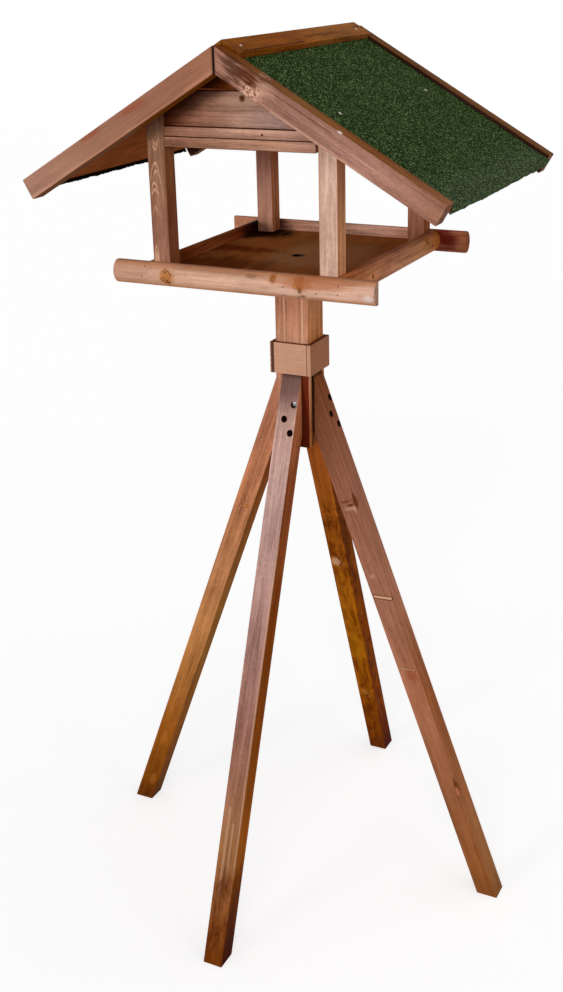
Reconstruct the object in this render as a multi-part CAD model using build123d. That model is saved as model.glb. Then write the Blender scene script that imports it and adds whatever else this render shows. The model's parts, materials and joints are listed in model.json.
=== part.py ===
from build123d import *
import os
from math import cos, radians, sin, tan

# Bird table: a gabled feeding house on a two-piece square pole, held up by four splayed legs.
# Millimetres. The origin is on the ground under the pole's axis, +Z is up, the gables face
# -Y (front) and +Y (back), and the ridge runs along Y.

# ---- Stand ----
leg_section = 33.0  # square timber of a leg
leg_reach = 364.0  # pole axis to the outer edge of a foot
leg_top_height = 899.0  # ground to the top of the legs, which carry the collar
leg_tip = 1.0  # blunt thickness left at the top of a leg
pole_side = 56.0  # square of the upper pole, which slides in the collar
pole_slip = 0.6  # play between the upper pole and each collar board
lower_pole_length = 146.0
upper_pole_length = 146.0

# ---- Collar round the pole joint ----
collar_thickness = 6.5
collar_height = 50.0
collar_socket = 25.0  # depth of collar above the pole joint

# ---- Tray ----
tray_width = 295.0
tray_depth = 357.0
floor_thickness = 9.0
rail_height = 34.0
rail_thickness = 17.5
rail_flat = 6.0  # flat part of a rail's top before the rounding starts
rail_overhang = 43.0  # front and back rails past the side rails
rail_drop = 8.0  # rail below the underside of the floor

# ---- Posts and gables ----
post_side = 28.0
bay_height = 180.4  # tray floor to the underside of the lower batten
batten_depth = 14.0
lower_batten_height = 15.0
upper_batten_height = 14.0
batten_end_gap = 3.0  # the lower batten stops this short of one post
gable_board_height = 48.0
gable_board_thickness = 9.0
gable_board_setback = 5.0
peak_board_thickness = 9.0
peak_board_setback = 10.0
peak_board_gap = 2.5  # shadow gap between the gable board and the peak board

# ---- Roof ----
roof_pitch = 30.0  # degrees
peak_height = 303.7  # tray floor to the underside of the roof at the ridge
roof_length = 428.4  # between the barge boards
panel_thickness = 7.0
panel_run = 367.3  # underside of a panel from ridge to eave
panel_mitre_gap = 0.4
felt_thickness = 3.0
felt_lip = 11.0  # height of the felt folded down over the eave
felt_bend = 1.5  # inner radius of that fold
barge_thickness = 25.3
barge_height = 31.0
barge_proud = 5.0  # barge board above the felt
barge_setback = 4.0  # eave end of a barge board behind the edge of the felt
barge_mitre_gap = 2.5
cap_width = 27.0
cap_thickness = 10.0
cap_mitre_gap = 0.6

# ---- Screws ----
screw_clearance = 0.1  # round shanks and heads in their holes
leg_screw_shank = 4.5
leg_screw_head = 8.5
leg_screw_length = 40.0
leg_screw_bore = 9.5  # counterbore in the leg
leg_screw_bite = 14.0  # wood left between the heads and the pole
# Each screw of a leg: how far below the leg top, and how far off the leg's centre line
leg_screw_spots = ((45.0, 10.0), (67.5, -3.0), (87.0, 10.0))
tray_screw_shank = 6.0
tray_screw_head = 12.0
tray_screw_length = 70.0
tray_screw_bore = 16.0
tray_screw_recess = 2.5

# ---- Heights and faces that follow from those sizes ----
collar_bottom = leg_top_height
joint_height = collar_bottom + collar_height - collar_socket
pole_half = pole_side / 2
lower_pole_half = pole_half + pole_slip
collar_half = lower_pole_half + collar_thickness
floor_bottom = joint_height + upper_pole_length
floor_top = floor_bottom + floor_thickness
rail_middle = floor_bottom - rail_drop + rail_height / 2
post_inner_x = tray_width / 2 - post_side
gable_plane = tray_depth / 2
lower_batten_bottom = floor_top + bay_height
upper_batten_bottom = lower_batten_bottom + lower_batten_height
gable_board_bottom = upper_batten_bottom + upper_batten_height
gable_board_top = gable_board_bottom + gable_board_height
ridge_underside = floor_top + peak_height
felt_level = panel_thickness
felt_top = felt_level + felt_thickness
barge_top = felt_top + barge_proud
rise = tan(radians(roof_pitch))


def block(x, y, z):
    """A sawn block between three (low, high) pairs."""
    corner = Pos(x[0], y[0], z[0])
    return corner * Box(x[1] - x[0], y[1] - y[0], z[1] - z[0], align=Align.MIN)


def along_y(outline, y):
    """A closed outline in X and Z, as a prism between the low and high Y."""
    face = make_face(Polyline(*outline, close=True))
    return extrude(Plane.XZ.offset(-y[1]) * face, amount=y[1] - y[0])


def turned(shape, angle):
    """The shape turned about the pole's axis."""
    return Rot(0, 0, angle) * shape


def facing(shape, end):
    """A piece made for the front, kept there (-1) or turned to the back (+1)."""
    return shape if end < 0 else turned(shape, 180)


# ---------------------------------------------------------------- screws


def screw(shank, head, length, clearance=0.0, bore=0.0, bore_depth=0.0):
    """A countersunk screw along -Z with the top of its head at the origin, or, with a
    clearance and a bore, the hole that it goes into."""
    shank_radius = shank / 2 + clearance
    head_radius = head / 2 + clearance
    cone = head_radius - shank_radius
    outline = [
        (0, -length - clearance),
        (shank_radius, -length - clearance),
        (shank_radius, -cone),
        (head_radius, 0),
    ]
    if bore:
        outline += [(bore / 2, 0), (bore / 2, bore_depth)]
    outline.append((0, outline[-1][1]))
    face = make_face(Polyline(*outline, close=True))
    return revolve(Plane.XZ * face, axis=Axis.Z)


def leg_screw_places():
    """Where the screws of the right leg enter, pointing along -X, in a zigzag."""
    head_x = lower_pole_half + leg_screw_bite
    for drop, offset in leg_screw_spots:
        yield Pos(head_x, offset, leg_top_height - drop) * Rot(0, 90, 0)


def leg_screws():
    shape = screw(leg_screw_shank, leg_screw_head, leg_screw_length)
    return [place * shape for place in leg_screw_places()]


def leg_screw_holes():
    reach = leg_reach - lower_pole_half
    hole = screw(
        leg_screw_shank,
        leg_screw_head,
        leg_screw_length,
        screw_clearance,
        leg_screw_bore,
        reach,
    )
    return [place * hole for place in leg_screw_places()]


def tray_screw_place():
    return Pos(0, 0, floor_top - tray_screw_recess)


def tray_screw():
    return tray_screw_place() * screw(tray_screw_shank, tray_screw_head, tray_screw_length)


def tray_screw_hole():
    return tray_screw_place() * screw(
        tray_screw_shank,
        tray_screw_head,
        tray_screw_length,
        screw_clearance,
        tray_screw_bore,
        floor_thickness,
    )


# ---------------------------------------------------------------- stand

leg_turns = {"right": 0, "back": 90, "left": 180, "front": 270}


def leg():
    """The right leg: square timber that leans in to the pole, sawn flat at the foot and
    wedge-cut at the top to lie on the pole's face."""
    face_x = lower_pole_half
    lean = (leg_reach - face_x - leg_tip) / leg_top_height
    foot_width = leg_section * (1 + lean**2) ** 0.5
    heel = leg_reach - foot_width
    outline = [
        (heel, 0),
        (leg_reach, 0),
        (face_x + leg_tip, leg_top_height),
        (face_x, leg_top_height),
        (face_x, (heel - face_x) / lean),
    ]
    timber = along_y(outline, (-leg_section / 2, leg_section / 2))
    return timber - leg_screw_holes()


def lower_pole():
    """The fixed pole piece, which the legs are screwed to."""
    side = (-lower_pole_half, lower_pole_half)
    pole = block(side, side, (joint_height - lower_pole_length, joint_height))
    for angle in leg_turns.values():
        pole -= [turned(hole, angle) for hole in leg_screw_holes()]
    return pole


def collar_board(angle):
    """One collar board. The left and right boards cap the ends of the other two."""
    capping = angle in (leg_turns["right"], leg_turns["left"])
    reach = collar_half if capping else lower_pole_half
    z = (collar_bottom, collar_bottom + collar_height)
    return turned(block((lower_pole_half, collar_half), (-reach, reach), z), angle)


def upper_pole():
    """The pole piece under the tray, which drops into the collar."""
    side = (-pole_half, pole_half)
    return block(side, side, (joint_height, floor_bottom)) - tray_screw_hole()


# ---------------------------------------------------------------- tray


def tray_floor():
    x = (-tray_width / 2, tray_width / 2)
    y = (-tray_depth / 2, tray_depth / 2)
    return block(x, y, (floor_bottom, floor_top)) - tray_screw_hole()


def half_round_rail(length):
    """A rail along X: flat on its +Y face, rounded towards -Y, centred on its height."""
    half = rail_height / 2
    rounding = ThreePointArc((-rail_flat, -half), (-rail_thickness, 0), (-rail_flat, half))
    back = Polyline((-rail_flat, half), (0, half), (0, -half), (-rail_flat, -half))
    face = Plane.YZ.offset(-length / 2) * make_face(rounding + back)
    return extrude(face, amount=length)


def rail(angle):
    """The front rail turned to one side of the tray. Front and back rails run past the
    side rails, which butt between them."""
    across = angle in (0, 180)
    length = tray_width + 2 * (rail_thickness + rail_overhang) if across else tray_depth
    distance = tray_depth / 2 if across else tray_width / 2
    return turned(Pos(0, -distance, rail_middle) * half_round_rail(length), angle)


# ---------------------------------------------------------------- posts and gables


def roof_underside(x):
    """Height of the underside of the roof at a distance from the ridge."""
    return ridge_underside - abs(x) * rise


def post(side, end):
    """A corner post, flush with the tray's corner and cut to the slope of the roof."""
    inner = side * post_inner_x
    outer = side * tray_width / 2
    outline = [
        (inner, floor_top),
        (outer, floor_top),
        (outer, roof_underside(outer)),
        (inner, roof_underside(inner)),
    ]
    face = end * gable_plane
    return along_y(outline, sorted((face, face - end * post_side)))


def lower_batten():
    x = (-post_inner_x, post_inner_x - batten_end_gap)
    y = (-gable_plane, -gable_plane + batten_depth)
    return block(x, y, (lower_batten_bottom, upper_batten_bottom))


def upper_batten():
    x = (-post_inner_x, post_inner_x)
    y = (-gable_plane, -gable_plane + batten_depth)
    return block(x, y, (upper_batten_bottom, gable_board_bottom))


def gable_board():
    """The wide board between the posts, its upper corners cut to the slope."""
    top_x = (ridge_underside - gable_board_top) / rise
    half = [
        (post_inner_x, gable_board_bottom),
        (post_inner_x, roof_underside(post_inner_x)),
        (top_x, gable_board_top),
    ]
    outline = half + [(-x, z) for x, z in reversed(half)]
    face = -gable_plane + gable_board_setback
    return along_y(outline, (face, face + gable_board_thickness))


def peak_board():
    """The triangle under the ridge, set back behind the gable board's face."""
    bottom = gable_board_top + peak_board_gap
    half_width = (ridge_underside - bottom) / rise
    outline = [(-half_width, bottom), (half_width, bottom), (0, ridge_underside)]
    face = -gable_plane + peak_board_setback
    return along_y(outline, (face, face + peak_board_thickness))


# ---------------------------------------------------------------- roof


def on_slope(run, level):
    """The point of the right-hand slope that lies run down the slope from the ridge and
    level above the underside of the roof, square to it."""
    pitch = radians(roof_pitch)
    x = run * cos(pitch) + level * sin(pitch)
    return (x, ridge_underside - run * sin(pitch) + level * cos(pitch))


def at_mitre(level, gap):
    """The run at which a level meets the vertical mitre, half the gap from the ridge."""
    pitch = radians(roof_pitch)
    return (gap / 2 - level * sin(pitch)) / cos(pitch)


def strip(bottom, top, run, gap):
    """Outline of a strip of the slope between two levels, from its mitre to a square end."""
    return [
        on_slope(at_mitre(bottom, gap), bottom),
        on_slope(run, bottom),
        on_slope(run, top),
        on_slope(at_mitre(top, gap), top),
    ]


def on_side(outline, side):
    """The outline on the right (+1) or mirrored to the left (-1)."""
    return [(side * x, z) for x, z in outline]


def roof_panel(side):
    outline = strip(0, panel_thickness, panel_run, panel_mitre_gap)
    return along_y(on_side(outline, side), (-roof_length / 2, roof_length / 2))


def roof_felt(side):
    """The felt on a panel, folded down over the eave in one bend."""
    eave = panel_run
    outer = eave + felt_thickness
    flat = strip(felt_level, felt_top, outer, panel_mitre_gap)
    lip = [
        on_slope(eave, felt_top - felt_lip),
        on_slope(outer, felt_top - felt_lip),
        on_slope(outer, felt_top),
        on_slope(eave, felt_top),
    ]
    y = (-roof_length / 2, roof_length / 2)
    sheet = along_y(on_side(flat, side), y) + along_y(on_side(lip, side), y)
    corner_x, corner_z = on_slope(outer, felt_top)
    bend = sheet.edges().filter_by(Axis.Y).sort_by_distance((side * corner_x, 0, corner_z))[0]
    return fillet(bend, felt_bend)


def barge_board(side, end):
    """A board that closes the end of the roof, mitred at the ridge and square at the eave."""
    run = panel_run + felt_thickness - barge_setback
    outline = strip(barge_top - barge_height, barge_top, run, barge_mitre_gap)
    inner = end * roof_length / 2
    return along_y(on_side(outline, side), sorted((inner, inner + end * barge_thickness)))


def ridge_cap(side):
    """A strip of wood that covers the felt along the ridge."""
    run = cap_width + at_mitre(felt_top, 0)
    outline = strip(felt_top, felt_top + cap_thickness, run, cap_mitre_gap)
    return along_y(on_side(outline, side), (-roof_length / 2, roof_length / 2))


# ---------------------------------------------------------------- assembly

sides = {"left": -1, "right": 1}
ends = {"front": -1, "back": 1}


def nodes():
    """Every node of the assembly by name, each with its shape."""
    made = {"lower_pole": lower_pole(), "upper_pole": upper_pole(), "tray_floor": tray_floor()}
    screws = []
    for name, angle in leg_turns.items():
        made[f"{name}_leg"] = turned(leg(), angle)
        made[f"{name}_collar_board"] = collar_board(angle)
        screws += [turned(one, angle) for one in leg_screws()]
    made["leg_screws"] = Compound(screws)
    made["tray_screw"] = tray_screw()
    for name, angle in {"front": 0, "right": 90, "back": 180, "left": 270}.items():
        made[f"{name}_rail"] = rail(angle)
    for end_name, end in ends.items():
        made[f"{end_name}_lower_batten"] = facing(lower_batten(), end)
        made[f"{end_name}_upper_batten"] = facing(upper_batten(), end)
        made[f"{end_name}_gable_board"] = facing(gable_board(), end)
        made[f"{end_name}_peak_board"] = facing(peak_board(), end)
        for side_name, side in sides.items():
            made[f"{end_name}_{side_name}_post"] = post(side, end)
            made[f"{end_name}_{side_name}_barge_board"] = barge_board(side, end)
    for side_name, side in sides.items():
        made[f"{side_name}_roof_panel"] = roof_panel(side)
        made[f"{side_name}_roof_felt"] = roof_felt(side)
        made[f"{side_name}_ridge_cap"] = ridge_cap(side)
    return made


os.makedirs("parts", exist_ok=True)
for name, shape in nodes().items():
    export_step(shape, f"parts/{name}.step")
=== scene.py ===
import bmesh
import bpy
import json
import numpy as np
from math import cos, radians, sin
from mathutils import Matrix, Vector


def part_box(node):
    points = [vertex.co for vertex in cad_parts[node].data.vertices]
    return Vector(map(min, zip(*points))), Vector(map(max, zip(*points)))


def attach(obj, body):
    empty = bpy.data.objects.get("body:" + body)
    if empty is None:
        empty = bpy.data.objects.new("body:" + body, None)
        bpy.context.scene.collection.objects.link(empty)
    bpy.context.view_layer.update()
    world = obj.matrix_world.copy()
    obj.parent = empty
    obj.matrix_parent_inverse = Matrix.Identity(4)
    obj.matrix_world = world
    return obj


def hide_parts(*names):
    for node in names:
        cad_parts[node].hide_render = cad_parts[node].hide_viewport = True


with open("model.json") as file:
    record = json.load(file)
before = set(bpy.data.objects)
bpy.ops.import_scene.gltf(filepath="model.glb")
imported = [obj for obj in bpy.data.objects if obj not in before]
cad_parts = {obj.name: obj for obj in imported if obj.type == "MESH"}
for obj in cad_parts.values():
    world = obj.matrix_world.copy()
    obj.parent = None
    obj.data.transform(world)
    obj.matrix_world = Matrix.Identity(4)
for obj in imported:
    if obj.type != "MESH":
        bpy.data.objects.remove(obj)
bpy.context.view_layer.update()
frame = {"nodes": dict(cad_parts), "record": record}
nodes = frame["nodes"]

MM = 0.001
PITCH = radians(30)
UP = np.array((0.0, 0.0, 1.0))
RIGHT = np.array((1.0, 0.0, 0.0))
BACK = np.array((0.0, 1.0, 0.0))


def corners(node):
    """The lowest and highest corner of a CAD node, as numpy arrays in metres."""
    low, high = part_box(node)
    return np.array(low), np.array(high)


def middle(node):
    """The middle of a CAD node's box."""
    low, high = corners(node)
    return (low + high) / 2


def unit(vector):
    """A vector of length one."""
    return np.asarray(vector, float) / np.linalg.norm(vector)


# ---- shader maths


def infix(operation):
    """An operator: a Math node on a value and the number after it."""
    return lambda self, other: self.tree.math(operation, self, other)


def reflected(operation):
    """An operator: a Math node on the number before a value and the value."""
    return lambda self, other: self.tree.math(operation, other, self)


class Value:
    """A number on a socket of a node tree. Arithmetic on it adds Math nodes."""

    __add__ = __radd__ = infix("ADD")
    __sub__, __rsub__ = infix("SUBTRACT"), reflected("SUBTRACT")
    __mul__ = __rmul__ = infix("MULTIPLY")
    __truediv__, __rtruediv__ = infix("DIVIDE"), reflected("DIVIDE")
    __pow__, __rpow__ = infix("POWER"), reflected("POWER")
    most = infix("MAXIMUM")

    def __init__(self, tree, socket):
        self.tree = tree
        self.socket = socket

    def __neg__(self):
        return self * -1

    def fraction(self):
        return self.tree.math("FRACT", self)

    def size(self):
        return self.tree.math("ABSOLUTE", self)

    def clamped(self):
        return self.tree.math("ADD", self, 0, use_clamp=True)

    def step(self, low, high):
        """0 below low, 1 above high, and a smooth rise between them."""
        sockets = {"Value": self, "From Min": low, "From Max": high}
        return self.tree.value("ShaderNodeMapRange", sockets, interpolation_type="SMOOTHSTEP")

    def bell(self, width):
        """1 at zero, falling off to each side as exp(-(value / width) squared)."""
        ratio = self / width
        return self.tree.math("EXPONENT", -(ratio * ratio))


class Tree:
    """A node tree, with one call that adds a node of any kind."""

    def __init__(self, tree):
        self.tree = tree
        self.tree.nodes.clear()

    def node(self, kind, sockets=None, **settings):
        """A node of a kind: its settings first, then its sockets' values or links."""
        made = self.tree.nodes.new(kind)
        for name, value in settings.items():
            setattr(made, name, value)
        for name, value in (sockets or {}).items():
            self.feed(made, name, value)
        return made

    def feed(self, node, name, value):
        socket = node.inputs[name]
        if isinstance(value, Value):
            value = value.socket
        if isinstance(value, bpy.types.NodeSocket):
            self.tree.links.new(value, socket)
        elif socket.type == "RGBA" and len(value) == 3:
            socket.default_value = (*value, 1)
        else:
            socket.default_value = value

    def value(self, kind, sockets, output=0, **settings):
        """The number that a node gives at one of its outputs."""
        return Value(self, self.node(kind, sockets, **settings).outputs[output])

    def math(self, operation, *values, **settings):
        sockets = dict(enumerate(values))
        return self.value("ShaderNodeMath", sockets, operation=operation, **settings)

    def vector(self, operation, *values, output=0):
        sockets = dict(enumerate(values))
        return self.node("ShaderNodeVectorMath", sockets, operation=operation).outputs[output]

    def measure(self, operation, *values):
        """A Vector Math node that gives a number."""
        return Value(self, self.vector(operation, *values, output="Value"))

    def seen(self):
        """1 for rays from the camera, off glossy surfaces and through clear ones, else 0."""
        path = self.node("ShaderNodeLightPath")
        kinds = ("Camera", "Glossy", "Transmission")
        camera, glossy, clear = (Value(self, path.outputs[f"Is {kind} Ray"]) for kind in kinds)
        return camera.most(glossy).most(clear)


class Finish(Tree):
    """One material: its node tree, the Object coordinates and the Principled shader."""

    def __init__(self, name, **constants):
        self.material = bpy.data.materials.new(name)
        self.material.use_nodes = True
        super().__init__(self.material.node_tree)
        self.output = self.node("ShaderNodeOutputMaterial")
        self.shader = self.node("ShaderNodeBsdfPrincipled")
        self.feed(self.output, "Surface", self.shader.outputs["BSDF"])
        for socket, value in constants.items():
            self.shader.inputs[socket.replace("_", " ")].default_value = value
        coordinates = self.node("ShaderNodeTexCoord")
        self.place = coordinates.outputs["Object"]
        self.normal = coordinates.outputs["Normal"]

    def away(self, point):
        """The way from a point, given in millimetres."""
        return self.vector("SUBTRACT", self.place, tuple(np.asarray(point) * MM))

    def reach(self, axis, origin):
        """The distance along an axis from an origin, in millimetres."""
        return self.measure("DOT_PRODUCT", self.away(origin), tuple(np.asarray(axis) / MM))

    def from_line(self, point, direction):
        """The distance from a line through a point, in millimetres."""
        line = tuple(unit(direction) / MM)
        return self.measure("LENGTH", self.vector("CROSS_PRODUCT", self.away(point), line))

    def facing(self, axis):
        """The cosine of the angle between the surface and an axis."""
        return self.measure("DOT_PRODUCT", self.normal, tuple(axis))

    def combine(self, x, y, z):
        return self.node("ShaderNodeCombineXYZ", {0: x, 1: y, 2: z}).outputs[0]

    def noise(self, vector, scale=1, detail=2, roughness=0.5, distortion=0):
        sizes = dict(Scale=scale, Detail=detail, Roughness=roughness, Distortion=distortion)
        return self.value("ShaderNodeTexNoise", {"Vector": vector, **sizes})

    def mix(self, amount, first, second):
        """Two colours mixed by an amount from 0 to 1."""
        sockets = {0: amount, 6: first, 7: second}
        return self.node("ShaderNodeMix", sockets, data_type="RGBA", clamp_factor=True).outputs[2]

    def ramp(self, amount, colors):
        """A colour from a list of evenly spaced ones."""
        if len(colors) == 1:
            return colors[0]
        made = self.node("ShaderNodeValToRGB", {0: amount})
        stops = made.color_ramp.elements
        while len(stops) < len(colors):
            stops.new(0.5)
        for stop, position, color in zip(stops, np.linspace(0, 1, len(colors)), colors):
            stop.position = position
            stop.color = (*color, 1)
        return made.outputs[0]

    def finish(self, color, roughness, height, depth):
        """Feeds the shader what varies over the surface. Depth is the relief in metres."""
        sockets = {"Height": height, "Distance": depth, "Strength": 1}
        self.feed(self.shader, "Base Color", color)
        self.feed(self.shader, "Roughness", roughness)
        self.feed(self.shader, "Normal", self.node("ShaderNodeBump", sockets).outputs[0])
        return self.material


def srgb(red, green, blue):
    """A colour given as 0 to 255 display values, in linear light."""
    shown = np.array((red, green, blue)) / 255
    linear = np.where(shown <= 0.04045, shown / 12.92, ((shown + 0.055) / 1.055) ** 2.4)
    return tuple(linear.tolist())


def shades(*thousandths):
    """A list of colours in linear light: red, green and blue in turn, each in thousandths."""
    return (np.reshape(thousandths, (-1, 3)) / 1000).tolist()


# ---- wood

WOOD_GLOSS = 0.01
PITH_WANDER = 12
DARK_STAIN = (0.4, 0.33, 0.28)
PALE_STAIN = (1.6, 1.67, 1.72)
# Near-black, for cracks and dark joints, and for painted shade in bores, in holes and where parts
# meet.
CRACK_AND_SHADE_BLACK = (0.006, 0.003, 0.002)
SHADE = (0.045, 0.012, 0.004)
HONEY = srgb(186, 116, 48)
UMBER = srgb(92, 42, 14)
# Pale, for scuffs, glue lines and saw lines, and for a painted highlight along an arris.
PALE_SCUFF_AND_HIGHLIGHT = srgb(226, 176, 142)

# The halo, then the core, of each kind of knot: a colour and a strength.
KNOT_KINDS = {
    "gold": (HONEY, 0.9, UMBER, 0.75),
    "burr": (srgb(222, 172, 146), 1.3, srgb(112, 58, 38), 0.85),
    "dark": (UMBER, 0.25, srgb(70, 30, 10), 0.92),
}


class Timber:
    """How a piece of softwood was cut and stained. Its grain runs along one axis, and the pith
    of its log lies off its centre across the other two. Its stain is a list of colours from
    end to end, and its edge is the axis and the stain of faces that take another, which on the
    gable boards and battens is painted shade on their top and bottom edges. Marks are
    (mask, colour, strength); some are painted shade and highlights. Lengths are in millimetres
    and colours are linear."""

    centre = None
    pith = (60, 35)
    ring = 4
    lean = 0.02
    figure = 1
    speckle = 0.1
    edge = None
    arris = None
    knots = ()
    marks = ()

    def __init__(self, along, across, stain, **details):
        self.along = unit(along)
        self.across = unit(across)
        self.through = np.cross(self.along, self.across)
        self.stain = stain
        vars(self).update(details)


class Grain:
    """The coordinates of a timber, along, across and through its grain, and its noises."""

    def __init__(self, f, timber, centre, seed):
        self.f = f
        self.axes = (timber.along, timber.across, timber.through)
        self.u, self.v, self.w = (f.reach(axis, centre) for axis in self.axes)
        self.fibre = self.drawn_out(0.022, 0.42, seed, 4, 0.68)
        self.fine = self.drawn_out(0.1, 1.6, seed, 2, 0.6)
        self.streak = self.drawn_out(0.0042, 0.12, seed * 2, 3, 0.62)
        self.cloud = self.drawn_out(0.014, 0.035, seed, 3, 0.6)
        self.mottle = f.noise(f.place, 150, 4, 0.75, 1.6)
        self.speck = self.drawn_out(0.14, 0.4, seed, 3, 0.85).step(0.32, 0.68)
        slant = f.combine((self.u - self.v) * 0.05, (self.u + self.v) * 0.24, self.w * 0.1)
        self.stroke = f.noise(slant, 1, 3, 0.6, 0.8).step(0.47, 0.56)

    def drawn_out(self, along, across, seed, detail, roughness):
        """Noise with one scale along the grain and another across it."""
        place = self.f.combine(self.u * along, self.v * across, self.w * across + seed)
        return self.f.noise(place, 1, detail, roughness)

    def marked(self, color, marks):
        """A colour with marks laid over it in turn."""
        for mask, mark_color, strength in marks:
            color = self.f.mix(mask(self) * strength, color, mark_color)
        return color

    def span(self, low, high, soft):
        """1 from a low to a high place along the grain, with soft ends."""
        return self.u.step(low - soft, low + soft) * (1 - self.u.step(high - soft, high + soft))


def marking(draw):
    """Makes of draw(grain, *sizes) a function of the sizes, which gives one of the grain."""
    return lambda *sizes: lambda g: draw(g, *sizes)


@marking
def on_face(g, axis):
    """1 on the faces that look along an axis."""
    return g.f.facing(axis).step(0.5, 0.8)


@marking
def band(g, axis, origin, low, high, face=None):
    """1 nearer than low along an axis from an origin and 0 beyond high. It may keep to the
    faces that look along a face axis."""
    away = g.f.reach(axis, origin) + (g.cloud - 0.5) * (0.5 * (high - low))
    near = 1 - away.step(low, high)
    return near if face is None else near * on_face(face)(g)


@marking
def plane_line(g, axis, origin, width):
    """A line where a plane square to an axis cuts the surface."""
    return g.f.reach(axis, origin).bell(width)


@marking
def bore(g, point, direction, radius):
    """1 within a radius of a line."""
    return 1 - g.f.from_line(point, direction).step(radius, radius + 0.7)


@marking
def patch(g, point, reach, ragged=1):
    """1 in a ragged ellipsoid whose half axes run along, across and through the grain."""
    parts = [g.f.reach(axis, point) / size for axis, size in zip(g.axes, reach)]
    distance = g.f.measure("LENGTH", g.f.combine(*parts))
    distance = distance + ((g.fibre - 0.5) * 1.2 + (g.cloud - 0.5) * 1.6) * ragged
    return 1 - distance.step(0.4, 1.1)


@marking
def bar(g, point, reach, turn=0):
    """1 in a block whose half sizes run along, across and through the grain, turned by an
    angle about the second."""
    inside = 1
    along, across, through = g.axes
    turned_along = along * cos(turn) + through * sin(turn)
    turned_through = through * cos(turn) - along * sin(turn)
    for axis, size in zip((turned_along, across, turned_through), reach):
        inside = (1 - g.f.reach(axis, point).size().step(size - 0.3, size + 0.3)) * inside
    return inside


@marking
def streak(g, offset, side, width, low=-999, high=999):
    """A thin line along the grain from low to high, at an offset across it, on the side (1 or
    -1) that looks through the grain or against it."""
    line = (g.v - offset + (g.streak - 0.5) * 2).bell(width) * (g.w * side).step(0, 1)
    return line * g.span(low, high, 3) * (0.5 + g.fibre)


@marking
def swirl(g, low, high):
    """Ragged clouds from a low to a high place along the grain."""
    place = g.f.combine(g.u * 0.022, g.v * 0.05, g.w * 0.05)
    return g.f.noise(place, 1, 4, 0.7, 0.8).step(0.38, 0.66) * g.span(low, high, 15)


@marking
def arris_highlight(g, v, w, width, low, high):
    """A broken pale line along the arris at (v, w), from low to high: a painted highlight along an
    arris paled by wear.
    """
    away = g.f.measure("LENGTH", g.f.combine(g.v - v, g.w - w, 0))
    return away.bell(width) * (0.3 + g.streak) * g.span(low, high, 15)


@marking
def arch(g, top, offset, curve, width, spread):
    """A growth ring cut flat: a broken line on the parabola u = top - curve * (v - offset)
    squared, out to a spread each way."""
    away = g.v - offset + (g.cloud - 0.5) * 3
    line = (g.u - top + away * away * curve + (g.streak - 0.5) * 4).bell(width)
    line = line * (0.2 + g.speck) * (-g.w).step(0, 1)
    return line * (1 - away.size().step(spread * 0.7, spread))


def spots(y, *rows):
    """Patches on the face at y, from rows of x, z, reach, colour, strength and raggedness."""
    return [
        (patch((x, y, z), reach, *ragged), color, strength)
        for x, z, reach, color, strength, *ragged in rows
    ]


def knot_shapes(g, knots, radius):
    """The rings, pushed aside by a bell of the stirred distance from each knot's branch, and
    each knot's kind, halo and core. A knot is (point, branch, radius, kind)."""
    shapes = []
    for point, branch, size, kind in knots:
        stirred = g.f.noise(g.f.place, 130, 3, 0.7, 1.2) - 0.5
        stir = 0.8 if kind == "dark" else 2.4
        distance = (g.f.from_line(point, branch) + stirred * (stir * size)).size()
        radius = radius + distance.bell(size * 2.2) * (2.2 * size)
        solid = {"dark": 1, "gold": g.stroke, "burr": g.mottle.step(0.49, 0.55)}[kind]
        core = (1 - distance.step(size * 0.75, size * 1.1)) * solid
        halo = 1 - distance.step(size * 0.6, size * 1.5)
        shapes.append((kind, halo, core))
    return radius, shapes


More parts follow.
